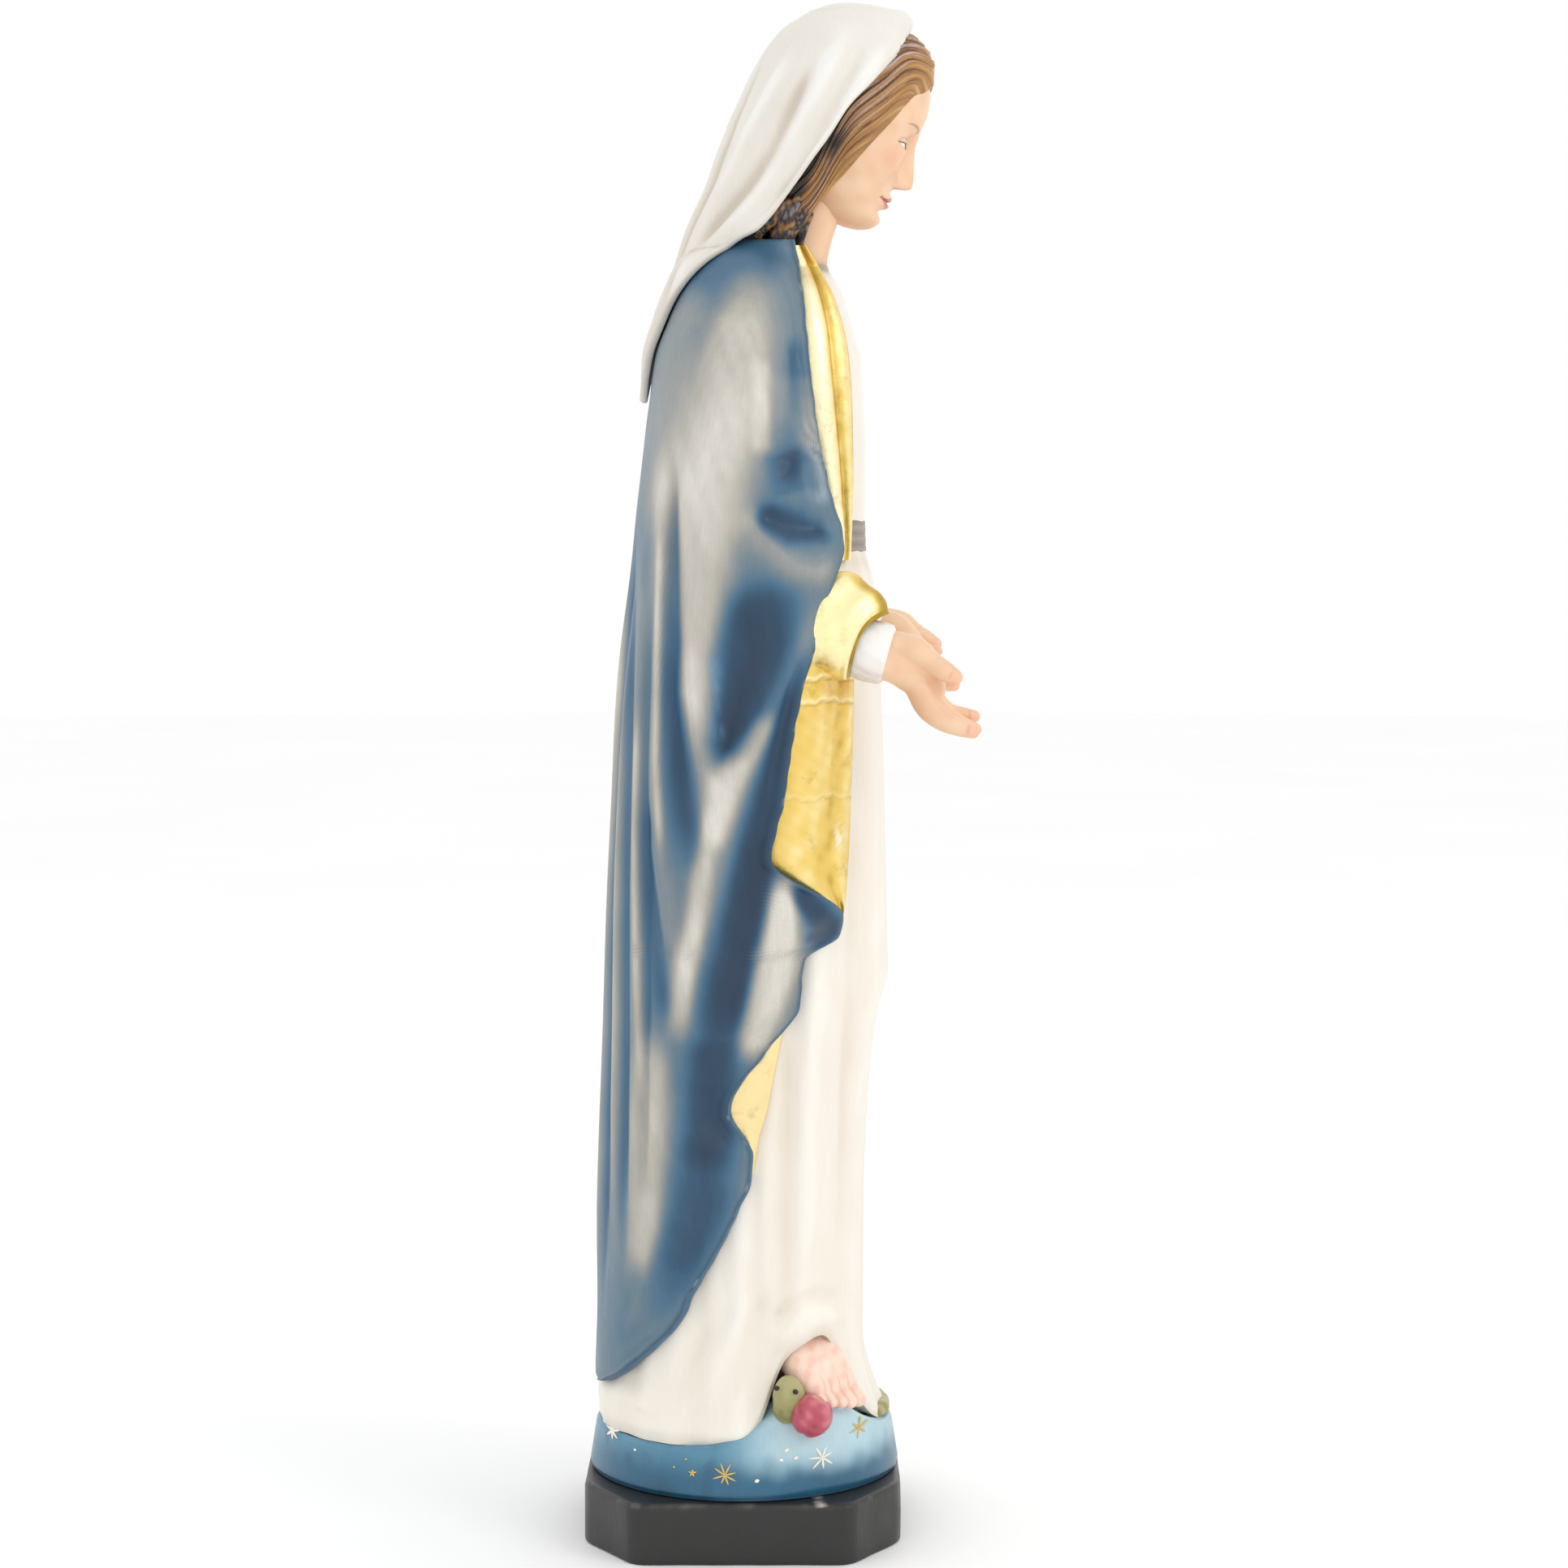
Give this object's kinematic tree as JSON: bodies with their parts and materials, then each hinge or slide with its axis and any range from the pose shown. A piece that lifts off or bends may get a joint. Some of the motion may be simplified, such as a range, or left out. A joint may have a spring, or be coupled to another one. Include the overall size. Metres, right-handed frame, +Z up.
{
  "type": "madonna statue",
  "caption": "Carved, painted and gilded standing figure of a veiled woman with open hands, on a globe and octagonal plinth",
  "frame": {"origin": "Centre of the plinth's underside, on the surface that the figure stands on.", "axes": "+Z up through the figure, -Y the way the figure faces, +X to the figure's left hand."},
  "size_m": [0.168, 0.1602, 0.5996],
  "materials": {
    "black_plinth": "dark grey-black satin paint on wood, edges softly worn",
    "cloud_blue": "blended blue oil paint on primed wood with small painted stars",
    "ivory_dress": "warm ivory oil paint on primed wood, satin",
    "taupe_sash": "grey-taupe oil paint on primed wood",
    "blue_mantle": "blue oil paint on primed wood, greyed on the ridges, satin",
    "skin_paint": "flesh oil paint on primed wood, satin",
    "brown_hair": "brown and ochre brushed oil paint on primed wood",
    "white_veil": "warm white oil paint on primed wood, satin",
    "green_snake": "olive green oil paint on primed wood",
    "red_apple": "crimson oil paint on primed wood, glossy",
    "gold_leaf": "gold leaf laid over primer on wood, burnished",
    "white_cuff": "white oil paint on primed wood",
    "bare_wood": "bare limewood"
  },
  "bodies": {
    "root": {"plinth": "black_plinth", "globe": "cloud_blue", "skirt": "ivory_dress", "bodice": "ivory_dress", "sash": "taupe_sash", "mantle_back": "blue_mantle", "mantle_right": "blue_mantle", "mantle_left": "blue_mantle", "head": "skin_paint", "hair": "brown_hair", "veil": "white_veil", "snake_head": "green_snake", "snake_coil": "green_snake", "apple": "red_apple", "lapel_right": "gold_leaf", "lining_fall_right": "gold_leaf", "lining_end_right": "gold_leaf", "sleeve_right": "gold_leaf", "cuff_right": "white_cuff", "hand_right": "skin_paint", "foot_right": "skin_paint", "wrist_dowel_right": "bare_wood", "lapel_left": "gold_leaf", "lining_fall_left": "gold_leaf", "lining_end_left": "gold_leaf", "sleeve_left": "gold_leaf", "cuff_left": "white_cuff", "hand_left": "skin_paint", "foot_left": "skin_paint", "wrist_dowel_left": "bare_wood", "base_dowel_1": "bare_wood", "base_dowel_2": "bare_wood", "hem_dowel_1": "bare_wood", "hem_dowel_2": "bare_wood", "waist_dowel": "bare_wood", "neck_dowel": "bare_wood"}
  },
  "joints": []
}
